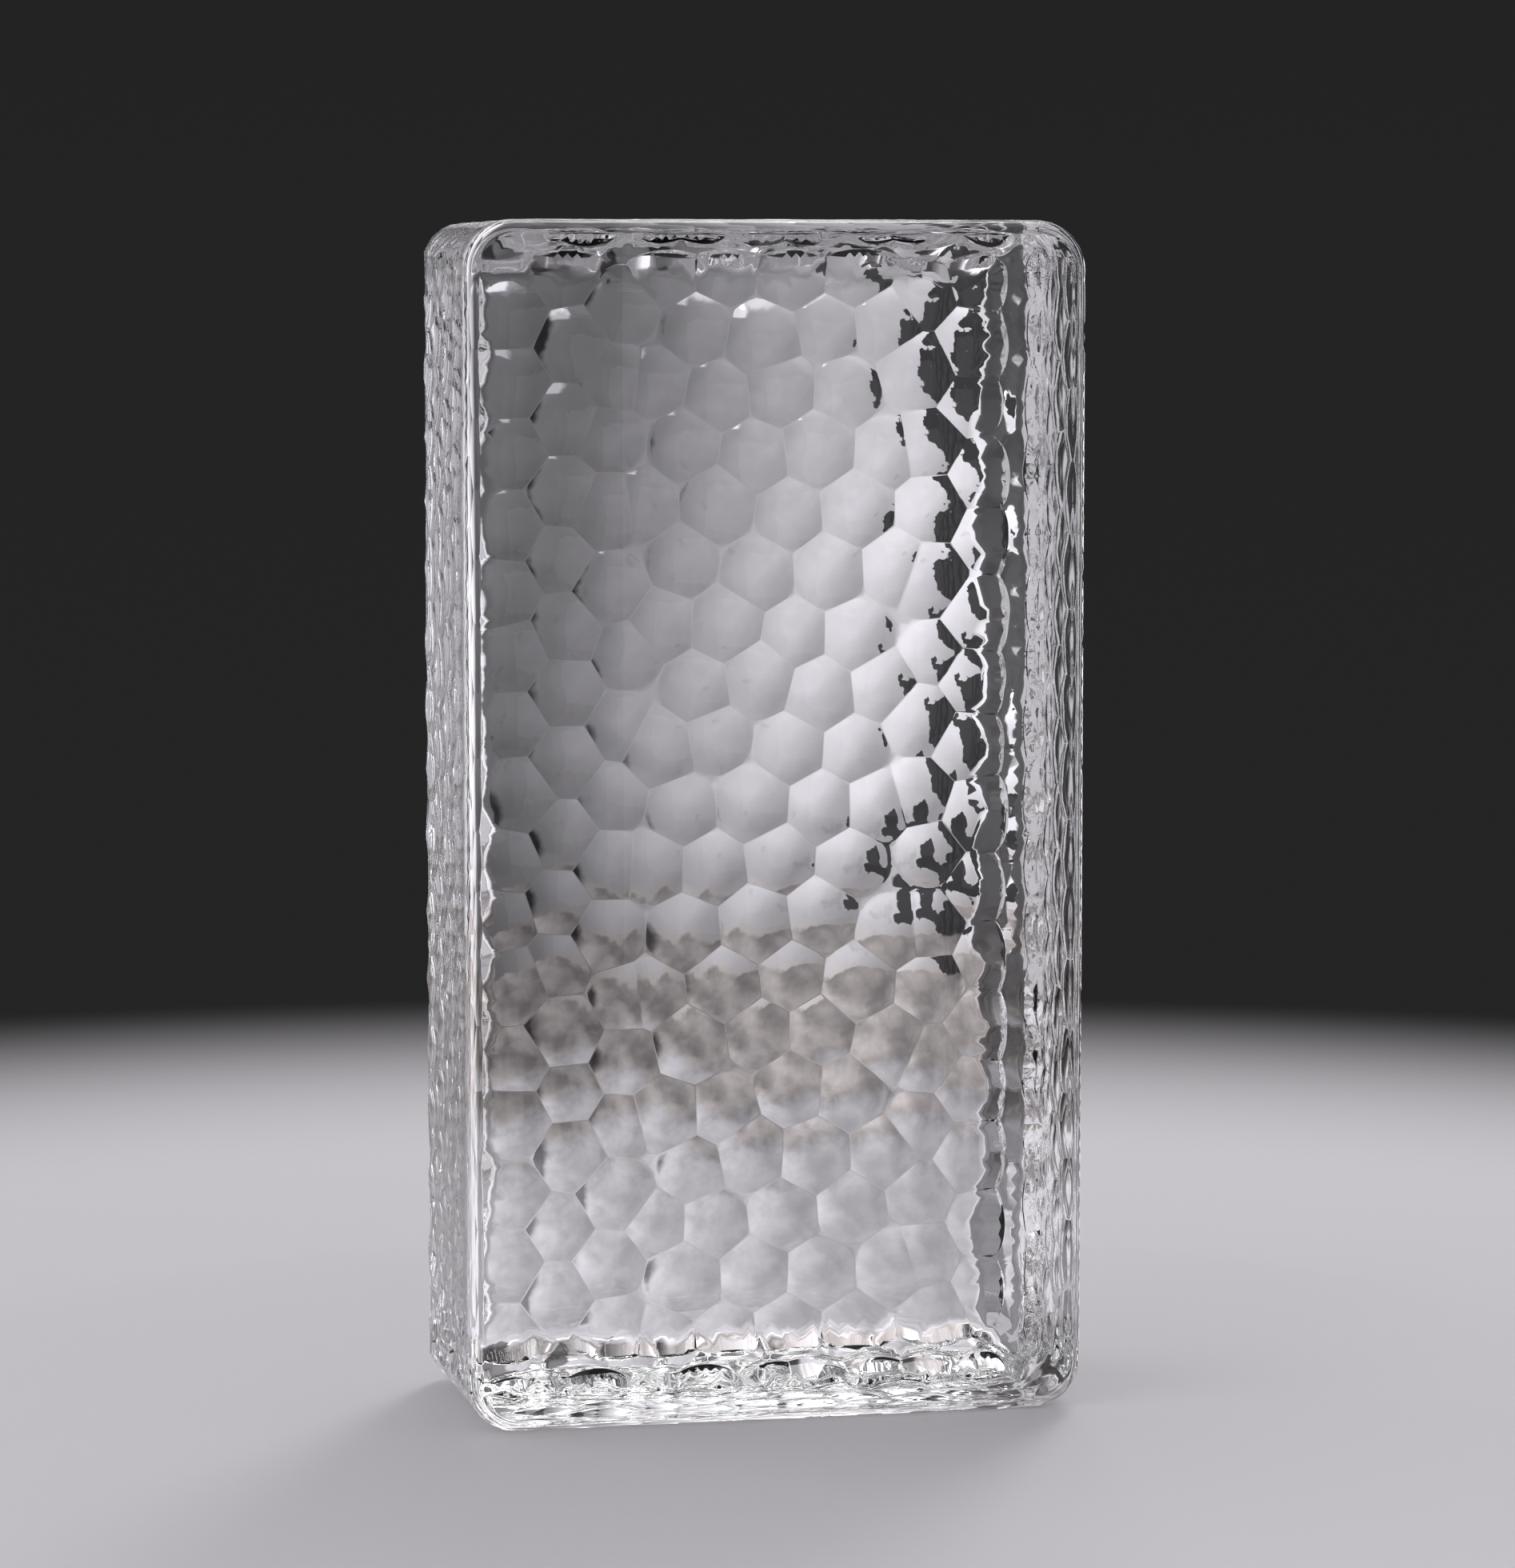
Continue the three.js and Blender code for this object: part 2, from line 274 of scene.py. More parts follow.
def blankDepth(wall, u, v):
    if wall["kind"] == "face":
        return endRecession(u, v, faceRadius)
    if wall["kind"] == "back":
        return endRecession(u, v, backRadius)
    y, along = wall["split"](u, v)
    return sideRecession(y, along, wall["half"])


def cellShare(wall, u, v):
    if wall["kind"] == "back":
        return np.ones(u.shape)
    y, _ = wall["split"](u, v)
    return smoothRise(y + depth / 2, block["faceEnd"], block["faceStart"])


def wallDepth(wall, u, v):  # depth of the finished surface under the wall's plane
    blank = blankDepth(wall, u, v)
    if wall["kind"] == "face":
        return blank
    cells = dishField(wall, u, v) * cellShare(wall, u, v)
    return np.maximum(blank, cells) + softened(blank - cells, block["rimRound"])


def insideWall(wall, u, v, margin):
    if wall["kind"] == "side":
        y, along = wall["split"](u, v)
        reach = wall["half"] - cornerRadius + (cornerRadius - profileInset(y)) * diagonal
        inY = (y > faceSeamY + margin) & (y < backSeamY - margin)
        return inY & (np.abs(along) < reach - margin)
    inset = backSeamInset if wall["kind"] == "back" else faceSeamInset
    return outlineDistance(u, v) > inset + margin


# The lines that the mesh follows.


def outlineLoop(inset, y, step):
    points, turns = [], []
    radius = cornerRadius - inset
    signs = ((1, 1), (-1, 1), (-1, -1), (1, -1))
    for corner, (signX, signZ) in enumerate(signs):
        midX = signX * (width / 2 - cornerRadius)
        midZ = signZ * (height / 2 - cornerRadius)
        for k in range(meshing["cornerSteps"] + 1):
            turn = 90 * (corner + k / meshing["cornerSteps"])
            angle = math.radians(turn)
            points.append((midX + radius * math.cos(angle), y, midZ + radius * math.sin(angle)))
            turns.append(turn)
        length = (width if corner % 2 == 0 else height) - 2 * cornerRadius
        count = round(length / step)
        for k in range(1, count):
            x, _, z = points[-1]
            along = length / count
            points.append((x - along * math.sin(angle), y, z + along * math.cos(angle)))
            turns.append(turn)
    points = np.array(points)
    points[:, 2] += height / 2
    return points, np.array(turns)


def profileRows():  # depths of the points along the corner seams
    arc = np.radians(np.linspace(0, 45, meshing["seamSteps"]))
    front = -depth / 2 + faceRadius * (1 - np.sin(arc[::-1]))
    back = depth / 2 - backRadius * (1 - np.sin(arc))
    count = round((back[0] - front[-1]) / meshing["step"])
    straight = np.linspace(front[-1], back[0], count + 1)
    return np.concatenate([front[1:-1], straight, back[1:-1]])


def makeSeams():  # points that two walls share
    faceLoop, faceTurns = outlineLoop(faceSeamInset, faceSeamY, meshing["step"])
    backLoop, backTurns = outlineLoop(backSeamInset, backSeamY, meshing["step"])
    points, turns = [faceLoop, backLoop], [faceTurns, backTurns]
    ends = ["face"] * len(faceLoop) + ["back"] * len(backLoop)
    rows = profileRows()
    for corner, (signX, signZ) in enumerate(((1, 1), (-1, 1), (-1, -1), (1, -1))):
        turn = 45 + 90 * corner
        angle = math.radians(turn)
        radius = cornerRadius - profileInset(rows)
        x = signX * (width / 2 - cornerRadius) + radius * math.cos(angle)
        z = signZ * (height / 2 - cornerRadius) + radius * math.sin(angle)
        points.append(np.stack([x, rows, z + height / 2], axis=1))
        turns.append(np.full(len(rows), turn))
        ends += ["corner"] * len(rows)
    return np.concatenate(points), np.concatenate(turns), np.array(ends)


def seamMembers(wall, turns, ends):
    if wall["kind"] != "side":
        return np.nonzero(ends == wall["kind"])[0]
    aside = np.abs((turns - wall["turn"] + 180) % 360 - 180)
    return np.nonzero(aside <= 45.001)[0]


def addRun(lines, wall, run, joined=True):
    run = np.asarray(run, float)
    keep = insideWall(wall, run[:, 0], run[:, 1], meshing["seamClear"])
    ids = []
    for (u, v), ok in zip(run.tolist(), keep):
        spot = (round(u, 3), round(v, 3))
        if ok and spot not in lines["known"]:
            lines["known"][spot] = len(lines["points"])
            lines["points"].append((u, v))
        ids.append(lines["known"][spot] if ok else None)
    if joined:
        pairs = zip(ids, ids[1:] + ids[:1])
        lines["edges"] += [pair for pair in pairs if None not in pair and pair[0] != pair[1]]


def clipped(polygon, toNeighbour, limit):  # keeps what is nearer than a line across the way to a neighbour
    kept = []
    away = polygon @ toNeighbour - limit
    for k in range(len(polygon)):
        after = (k + 1) % len(polygon)
        if away[k] <= 0:
            kept.append(polygon[k])
        if (away[k] <= 0) != (away[after] <= 0):
            share = away[k] / (away[k] - away[after])
            kept.append(polygon[k] + share * (polygon[after] - polygon[k]))
    return np.array(kept)


def cellPolygon(cells, own):  # the cell's corners about its middle, where its dish is the deepest one
    reach = 2 * block["dishReach"]
    polygon = np.array([(-reach, -reach), (reach, -reach), (reach, reach), (-reach, reach)], float)
    for other in range(len(cells)):
        way = cells[other, :2] - cells[own, :2]
        apart = way @ way
        if other != own and apart < (2 * reach) ** 2:
            deeper = cells[own, 2] - cells[other, 2]
            polygon = clipped(polygon, way, apart / 2 + dishRadius * deeper)
    return polygon


def subdivided(corners, counts):
    run = []
    for k, count in enumerate(counts):
        ahead = corners[(k + 1) % len(corners)] - corners[k]
        run += [corners[k] + ahead * step / count for step in range(count)]
    return np.array(run)


def drawnIn(wall, cell, spokes):  # ends each spoke where the dish runs out on the plain skin
    near, far = np.zeros(len(spokes)), np.ones(len(spokes))
    for _ in range(meshing["searchSteps"]):
        share = (near + far) / 2
        u = cell[0] + spokes[:, 0] * share
        v = cell[1] + spokes[:, 1] * share
        dish = cell[2] - ((u - cell[0]) ** 2 + (v - cell[1]) ** 2) / (2 * dishRadius)
        cut = dish * cellShare(wall, u, v) > blankDepth(wall, u, v)
        near = np.where(cut, share, near)
        far = np.where(cut, far, share)
    return spokes * np.where(near > 0.9999, 1, near)[:, None]


def cellLines(wall, lines):
    cells = wall["cells"]
    for own, cell in enumerate(cells):
        corners = cellPolygon(cells, own)
        lengths = np.linalg.norm(np.roll(corners, -1, axis=0) - corners, axis=1)
        for share, coarse in meshing["rings"]:
            step = meshing["step"] * coarse / max(share, meshing["shortestRing"])
            counts = [max(1, round(length / step)) for length in lengths]
            spokes = drawnIn(wall, cell, subdivided(corners, counts))
            addRun(lines, wall, cell[:2] + spokes * share)
        addRun(lines, wall, [cell[:2]], False)


def skinPoints(wall, lines):  # points over the plain skin between the cells and the seams
    step = meshing["step"]
    rowGap = step * math.sqrt(0.75)
    spots = []
    for row in range(math.ceil(wall["size"][1] / rowGap) + 1):
        v = row * rowGap - wall["size"][1] / 2
        for column in range(math.ceil(wall["size"][0] / step) + 1):
            spots.append(((column + 0.5 * (row % 2)) * step - wall["size"][0] / 2, v))
    spots = np.array(spots)
    inside = insideWall(wall, spots[:, 0], spots[:, 1], meshing["seamClear"])
    spots = spots[inside]
    u, v = spots.T
    plain = dishField(wall, u, v) * cellShare(wall, u, v) < blankDepth(wall, u, v) - block["rimRound"] / 2
    addRun(lines, wall, spots[plain], False)


def faceLines(wall, lines):
    for degrees in meshing["faceRims"]:
        inset = faceRadius * (1 - math.cos(math.radians(degrees)))
        step = meshing["step"] * (1 if degrees < 90 else 2)
        loop, _ = outlineLoop(inset, 0, step)
        addRun(lines, wall, np.stack(wall["plane"](*loop.T), axis=1))
    step = meshing["faceStep"]
    for u in np.arange(-width / 2 + step, width / 2 - step / 2, step):
        for v in np.arange(-height / 2 + step, height / 2 - step / 2, step):
            addRun(lines, wall, [(u, v)], False)


def wallMesh(wall, seamPoints, members):
    lines = {"points": [], "edges": [], "known": {}}
    if wall["kind"] == "face":
        faceLines(wall, lines)
    else:
        cellLines(wall, lines)
        skinPoints(wall, lines)
    seam = np.stack(wall["plane"](*seamPoints[members].T), axis=1)
    flat = [Vector(p) for p in seam.tolist()] + [Vector(p) for p in lines["points"]]
    edges = [(a + len(seam), b + len(seam)) for a, b in lines["edges"]]
    found = delaunay_2d_cdt(flat, edges, [], 0, meshing["weld"], True)
    points = np.array([tuple(p) for p in found[0]])
    origin = np.full(len(points), -1)
    for n, sources in enumerate(found[3]):
        fromSeam = [s for s in sources if s < len(seam)]
        if fromSeam:
            origin[n] = members[fromSeam[0]]
    return points, found[2], origin


def wallNormals(wall, u, v):
    step = meshing["slopeStep"]
    slopeU = (wallDepth(wall, u + step, v) - wallDepth(wall, u - step, v)) / (2 * step)
    slopeV = (wallDepth(wall, u, v + step) - wallDepth(wall, u, v - step)) / (2 * step)
    origin = np.array(wall["place"](0.0, 0.0, 0.0))
    uWay = np.array(wall["place"](1.0, 0.0, 0.0)) - origin
    vWay = np.array(wall["place"](0.0, 1.0, 0.0)) - origin
    outWay = origin - np.array(wall["place"](0.0, 0.0, 1.0))
    normals = slopeU[:, None] * uWay + slopeV[:, None] * vWay + outWay
    return normals / np.linalg.norm(normals, axis=1)[:, None]


def scoopRow(start, end, side, radius, turn, salt):  # along the axis of one rounded edge
    length = np.linalg.norm(end - start)
    count = round(length / block["scoopPitch"])
    middles = []
    for n in range(count):
        along = (n + 0.5 + block["scoopShift"] * scatter(n, 3, salt)) / count
        tilt = math.radians(turn + block["scoopTilt"] * scatter(n, 7, salt))
        deep = block["scoopDepth"] * (1 + block["scoopSpread"] * scatter(n, 11, salt))
        lift = radius + block["scoopRadius"] - deep
        way = side * math.sin(tilt) + np.array([0, math.cos(tilt), 0])
        middles.append(start + (end - start) * along + way * lift)
    return middles


def makeScoops():  # the middles of the balls that cut them
    sideX, sideY = width / 2 - sideRadius, depth / 2 - sideRadius
    endX, endY, endZ = width / 2 - cornerRadius, depth / 2 - endRadius, height / 2 - endRadius
    middles = []
    for sign in (-1, 1):
        foot = np.array([sign * sideX, sideY, cornerRadius])
        top = np.array([sign * sideX, sideY, height - cornerRadius])
        middles += scoopRow(foot, top, np.array([sign, 0, 0]), sideRadius, block["sideScoopTurn"], 6 + sign)
        for n, turn in enumerate(block["endScoopTurns"]):
            aside = block["endScoopShift"] * n
            left = np.array([-endX + aside, endY, height / 2 + sign * endZ])
            right = np.array([endX + aside, endY, height / 2 + sign * endZ])
            middles += scoopRow(left, right, np.array([0, 0, sign]), endRadius, turn, 9 + sign + 0.4 * n)
    return np.array(middles)


def scoopDepth(places):
    deepest = np.full(len(places), farUnder)
    for middle in scoops:
        deepest = np.maximum(deepest, block["scoopRadius"] - np.linalg.norm(places - middle, axis=1))
    return np.maximum(deepest, 0) + softened(deepest, block["scoopRound"])


def edgeCut(places):  # what the rounder edges take off past the corners' own radius
    toSide = width / 2 - np.abs(places[:, 0])
    toEnd = height / 2 - np.abs(places[:, 2] - height / 2)
    toBack = depth / 2 - places[:, 1]
    cut = np.zeros(len(places))
    for radius, distance in ((sideRadius, toSide), (endRadius, toEnd)):
        beyond = np.hypot(np.maximum(radius - distance, 0), np.maximum(radius - toBack, 0)) - radius
        cut = np.maximum(cut, np.where((distance < radius) & (toBack < radius), beyond, 0))
    return cut


def sineOver(places, wave):
    turns = places * (2 * math.pi / block["wobbleLength"])
    return np.sin(turns @ np.array(wave[:3]) + wave[3])


def unevenness(places):  # slow, and the same on both sides of a seam
    waves = np.zeros(len(places))
    for strength, first, second in block["wobbleWaves"]:
        waves += strength * sineOver(places, first) * sineOver(places, second)
    fromFace = np.clip((places[:, 1] + depth / 2 - block["faceEnd"]) / block["faceStart"], 0, 1)
    return block["wobble"] * 0.5 * (1 + waves / block["wobblePeak"]) * fromFace ** 2


def takenOff(places):  # what the block loses all over, on top of its cells
    return unevenness(places) + scoopDepth(places) + edgeCut(places)


def finished(places, normals):
    step = meshing["wobbleStep"]
    slopes = []
    for axis in np.eye(3):
        slopes.append((takenOff(places + step * axis) - takenOff(places - step * axis)) / (2 * step))
    slope = np.stack(slopes, axis=1)
    turned = normals + slope - normals * (slope * normals).sum(axis=1)[:, None]
    turned /= np.linalg.norm(turned, axis=1)[:, None]
    return places - normals * takenOff(places)[:, None], turned


scoops = makeScoops()


def makeBlock():
    seamPoints, turns, ends = makeSeams()
    places = [seamPoints]
    normals = [np.zeros_like(seamPoints)]
    faces = []
    total = len(seamPoints)
    for wall in makeWalls():
        members = seamMembers(wall, turns, ends)
        points, wallFaces, origin = wallMesh(wall, seamPoints, members)
        u, v = points[:, 0], points[:, 1]
        fresh = origin < 0
        ids = origin.copy()
        ids[fresh] = total + np.arange(fresh.sum())
        total += int(fresh.sum())
        there = np.stack(np.broadcast_arrays(*wall["place"](u, v, wallDepth(wall, u, v))), axis=1)
        wallWays = wallNormals(wall, u, v)
        places.append(there[fresh])
        normals[0][origin[~fresh]] += wallWays[~fresh]
        normals.append(wallWays[fresh])
        faces += [tuple(int(ids[k]) for k in face) for face in wallFaces]
    places = np.concatenate(places)
    normals = np.concatenate(normals)
    normals /= np.linalg.norm(normals, axis=1)[:, None]
    places, normals = finished(places, normals)
    mesh = bpy.data.meshes.new("glassBlock")
    mesh.from_pydata((places * mm).tolist(), [], faces)
    mesh.polygons.foreach_set("use_smooth", [True] * len(mesh.polygons))
    mesh.update()
    mesh.normals_split_custom_set_from_vertices(normals.tolist())
    piece = bpy.data.objects.new("glassBlock", mesh)
    scene.collection.objects.link(piece)
    return piece


glass = makeBlock()
print("block:", len(glass.data.polygons), "faces")

# Shader nodes in short. A cloud is its scale, detail, lowest and highest value. A ramp is where it
# starts and ends, and its value there, 0 and 1 if not said. A band is start, end, softness and value.

noiseSpan = (0.25, 0.75)  # the part of a noise texture's range that is used


def link(tree, source, target):
    if isinstance(source, (int, float)):
        target.default_value = source
    else:
        tree.links.new(source, target)


def calc(tree, operation, a, b=0.0):
    node = tree.nodes.new("ShaderNodeMath")
    node.operation = operation
    link(tree, a, node.inputs[0])
    link(tree, b, node.inputs[1])
    return node.outputs[0]


def joined(tree, operation, values):
    total = values[0]
    for value in values[1:]:
        total = calc(tree, operation, total, value)
    return total


def added(tree, *values):
    return joined(tree, "ADD", values)


def times(tree, *values):
    return joined(tree, "MULTIPLY", values)


def less(tree, whole, part):
    return calc(tree, "SUBTRACT", whole, part)


def ramp(tree, value, start, end, low=0.0, high=1.0):
    node = tree.nodes.new("ShaderNodeMapRange")
    node.interpolation_type = "SMOOTHSTEP"
    link(tree, value, node.inputs["Value"])
    for name, number in (("From Min", start), ("From Max", end), ("To Min", low), ("To Max", high)):
        node.inputs[name].default_value = number
    return node.outputs["Result"]


def band(tree, value, start, end, soft, level):
    rise = ramp(tree, value, start - soft / 2, start + soft / 2)
    fall = ramp(tree, value, end - soft / 2, end + soft / 2, 1, 0)
    return times(tree, rise, fall, level)


def cloud(tree, place, scale, detail, low, high):
    node = tree.nodes.new("ShaderNodeTexNoise")
    tree.links.new(place, node.inputs["Vector"])
    node.inputs["Scale"].default_value = scale
    node.inputs["Detail"].default_value = detail
    return ramp(tree, node.outputs["Fac"], *noiseSpan, low, high)


def blended(tree, share, first, second, strength):  # a colour between two, times a strength
    mix = tree.nodes.new("ShaderNodeMix")
    mix.data_type = "RGBA"
    link(tree, share, mix.inputs[0])
    mix.inputs[6].default_value = (*first, 1)
    mix.inputs[7].default_value = (*second, 1)
    scaled = tree.nodes.new("ShaderNodeVectorMath")
    scaled.operation = "SCALE"
    tree.links.new(mix.outputs[2], scaled.inputs[0])
    link(tree, strength, scaled.inputs["Scale"])
    return scaled.outputs[0]


def parted(tree, vector):
    node = tree.nodes.new("ShaderNodeSeparateXYZ")
    tree.links.new(vector, node.inputs[0])
    return node.outputs


def bearing(tree, parts):  # degrees to the right of straight behind the block
    return times(tree, calc(tree, "ARCTAN2", parts["X"], parts["Y"]), 180 / math.pi)


def newMaterial(name):
    material = bpy.data.materials.new(name)
    material.use_nodes = True
    return material, material.node_tree


glassFinish = {
    "colour": (0.985, 0.99, 0.99),
    "ior": 1.5,
    "ripple": (260, 2, 0, 1),  # fire-polished skin, ripples of 3 to 4 mm
    "rippleHeight": 0.000006,
    "calm": (0.016, 0.022, 0, 1),  # from the calm skin in front to the rippled back
    "rough": (65, 1, 0, 0.012),
}


def clearGlass():
    material, tree = newMaterial("clearCastGlass")
    shader = tree.nodes["Principled BSDF"]
    shader.inputs["Base Color"].default_value = (*glassFinish["colour"], 1)
    shader.inputs["IOR"].default_value = glassFinish["ior"]
    shader.inputs["Transmission Weight"].default_value = 1
    place = tree.nodes.new("ShaderNodeTexCoord").outputs["Object"]
    tree.links.new(cloud(tree, place, *glassFinish["rough"]), shader.inputs["Roughness"])
    calm = ramp(tree, parted(tree, place)["Y"], *glassFinish["calm"])
    bump = tree.nodes.new("ShaderNodeBump")
    bump.inputs["Distance"].default_value = glassFinish["rippleHeight"]
    tree.links.new(times(tree, cloud(tree, place, *glassFinish["ripple"]), calm), bump.inputs["Height"])
    tree.links.new(bump.outputs[0], shader.inputs["Normal"])
    return material


glass.data.materials.append(clearGlass())
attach(glass, "root")
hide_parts("glass_block")
print("glass done")

# Floor, light and camera, in metres.

floorFinish = {
    "colour": (0.59, 0.565, 0.605),
    "roughness": 0.7,
    "gloss": 0.1,
    "radius": 1.2,
    "sides": 96,
    "fade": (0.24, 0.50),     # runs out into the backdrop
    "seen": 0.065,            # glass shows the floor this far out, and the light tent beyond
}


def makeFloor():
    sides, radius = floorFinish["sides"], floorFinish["radius"]
    bpy.ops.mesh.primitive_circle_add(vertices=sides, radius=radius, fill_type="NGON")
    floor = bpy.context.object
    floor.name = "floor"
    material, tree = newMaterial("paleFloor")
    shader = tree.nodes["Principled BSDF"]
    shader.inputs["Base Color"].default_value = (*floorFinish["colour"], 1)
    shader.inputs["Roughness"].default_value = floorFinish["roughness"]
    shader.inputs["Specular IOR Level"].default_value = floorFinish["gloss"]
    length = tree.nodes.new("ShaderNodeVectorMath")
    length.operation = "LENGTH"
    tree.links.new(tree.nodes.new("ShaderNodeNewGeometry").outputs["Position"], length.inputs[0])
    out = length.outputs["Value"]
    path = tree.nodes.new("ShaderNodeLightPath").outputs
    throughGlass = calc(tree, "MAXIMUM", path["Is Glossy Ray"], path["Is Transmission Ray"])
    hidden = times(tree, throughGlass, calc(tree, "GREATER_THAN", out, floorFinish["seen"]))
    away = calc(tree, "MAXIMUM", ramp(tree, out, *floorFinish["fade"]), hidden)
    clear = tree.nodes.new("ShaderNodeBsdfTransparent")
    mix = tree.nodes.new("ShaderNodeMixShader")
    tree.links.new(away, mix.inputs[0])
    tree.links.new(shader.outputs[0], mix.inputs[1])
    tree.links.new(clear.outputs[0], mix.inputs[2])
    tree.links.new(mix.outputs[0], tree.nodes["Material Output"].inputs["Surface"])
    floor.data.materials.append(material)


surround = {                  # bearings in degrees, rises as the upward share of a ray's way
    "backdrop": (-0.1, 0.5, 0.0182, 0.0098),  # a little lighter at its foot
    "roomLight": 0.57,
    "fray": (9, 3, -1.2, 1.2),  # ragged edges, in degrees
    "slant": (1.15, 0.03),    # lighter upwards by the rise, and to the left by the bearing
    "walls": (-0.75, -0.15, 0.42, 1.45),
    "patches": (14, 2, 0.95, 1.05),
    "right": (23, 62, 3, 1),  # a lit field to the right, strongest at its near end
    "rightLight": (33, 44, 2.3, 0.45),
    "calmMiddle": (12.7, -3.4),  # a calm field behind the block, both in degrees
    "calmEdge": (6.6, 9, 1, 1.2),
    "dark": (4.8, 6.8, 0.06, 1),  # dark to the left of these bearings,
    "left": (-140, -39, 6, 1.2),  # but for a lit field at the far left
    "glintBearing": (5.5, 10, 1, 3),
    "glintRise": (0.058, 0.092, 0.006, 1),
    "overhead": (0.35, 0.8, 0, 0.6),
}


def makeWorld():
    world = bpy.data.worlds.new("studio")
    scene.world = world
    world.use_nodes = True
    tree = world.node_tree
    tree.nodes.clear()
    way = tree.nodes.new("ShaderNodeTexCoord").outputs["Generated"]
    parts = parted(tree, way)
    rise = parts["Z"]
    turn = bearing(tree, parts)
    ragged = added(tree, turn, cloud(tree, way, *surround["fray"]))
    byRise, byTurn = surround["slant"]
    slant = less(tree, times(tree, rise, byRise), times(tree, turn, byTurn))
    right = times(tree, band(tree, ragged, *surround["right"]), ramp(tree, turn, *surround["rightLight"]))
    middleTurn, middleRise = surround["calmMiddle"]
    asideTurn = less(tree, turn, middleTurn)
    asideRise = less(tree, times(tree, rise, 180 / math.pi), middleRise)
    squares = added(tree, calc(tree, "POWER", asideTurn, 2), calc(tree, "POWER", asideRise, 2))
    aside = calc(tree, "SQRT", squares)
    walls = times(
        tree,
        ramp(tree, slant, *surround["walls"]),
        cloud(tree, way, *surround["patches"]),
        added(tree, 1, right),
        ramp(tree, aside, *surround["calmEdge"]),
        ramp(tree, ragged, *surround["dark"]),
    )
    left = band(tree, ragged, *surround["left"])
    glint = times(
        tree,
        band(tree, ragged, *surround["glintBearing"]),
        band(tree, rise, *surround["glintRise"]),
    )
    behindGlass = added(tree, walls, left, glint, ramp(tree, rise, *surround["overhead"]))
    path = tree.nodes.new("ShaderNodeLightPath").outputs
    seen, diffuse = path["Is Camera Ray"], path["Is Diffuse Ray"]
    other = less(tree, 1, added(tree, seen, diffuse))
    total = added(
        tree,
        times(tree, seen, ramp(tree, rise, *surround["backdrop"])),
        times(tree, diffuse, surround["roomLight"]),
        times(tree, other, behindGlass),
    )
    light = tree.nodes.new("ShaderNodeBackground")
    tree.links.new(total, light.inputs["Color"])
    output = tree.nodes.new("ShaderNodeOutputWorld")
    tree.links.new(light.outputs[0], output.inputs["Surface"])


tentCloth = {                 # bearings in degrees; ground, sky and ceiling are one above the other
    "radius": 0.15,
    "sides": 128,
    "low": -0.08,
    "high": 0.42,
    "coolTint": (0.965, 0.935, 1.0),
    "warmTint": (1.0, 0.91, 0.92),
    "warmBand": (0.028, 0.06, 0.006, 1),  # heights that have the warm tint
    "fray": (55, 4, -1, 1),
    "raggedBy": 1.3,          # degrees
    "tornBy": 5,
    "waveringBy": 0.006,      # in height
    "marble": (60, 3, 0.5, 1.4),
    "marbleFade": (0.012, 0.03, 0.4, 1),  # fainter near the floor
    "smudges": (0.54, 0.65, 0.85, 1),
    "patches": (28, 1, 0.92, 1.08),
    "tilt": (0.11, 90),       # the sky's fields lean about this height, by these degrees a metre
    "sky": (-7, 27, 0.13, 0.88),  # clearer to the right,
    "skyEnd": (25.9, 26.3, 1, 0.03),  # up to a torn edge
    "skyHigh": (0.125, 0.172, 1, 0.78),
    "skyLow": (0.06, 0.105, 0.75, 1),
    "rightSky": (34, 40, 0, 1.15),
    "leftSky": (-34, -28, 0.3, 0),
    "ceiling": (0.186, 0.192),
    "ceilingLight": (-8, 15, 0.2, 0.5),
    "ceilingEnd": (23, 24, 1, 0.25),
    "ground": (0.057, 0.054),
    "groundShare": 0.45,
    "groundGlow": (0.014, 0.045, 0.2, 0.03),
    "groundShade": (-2, 20, 0.55, 0),
    "groundShadeRise": (0.01, 0.035),
}


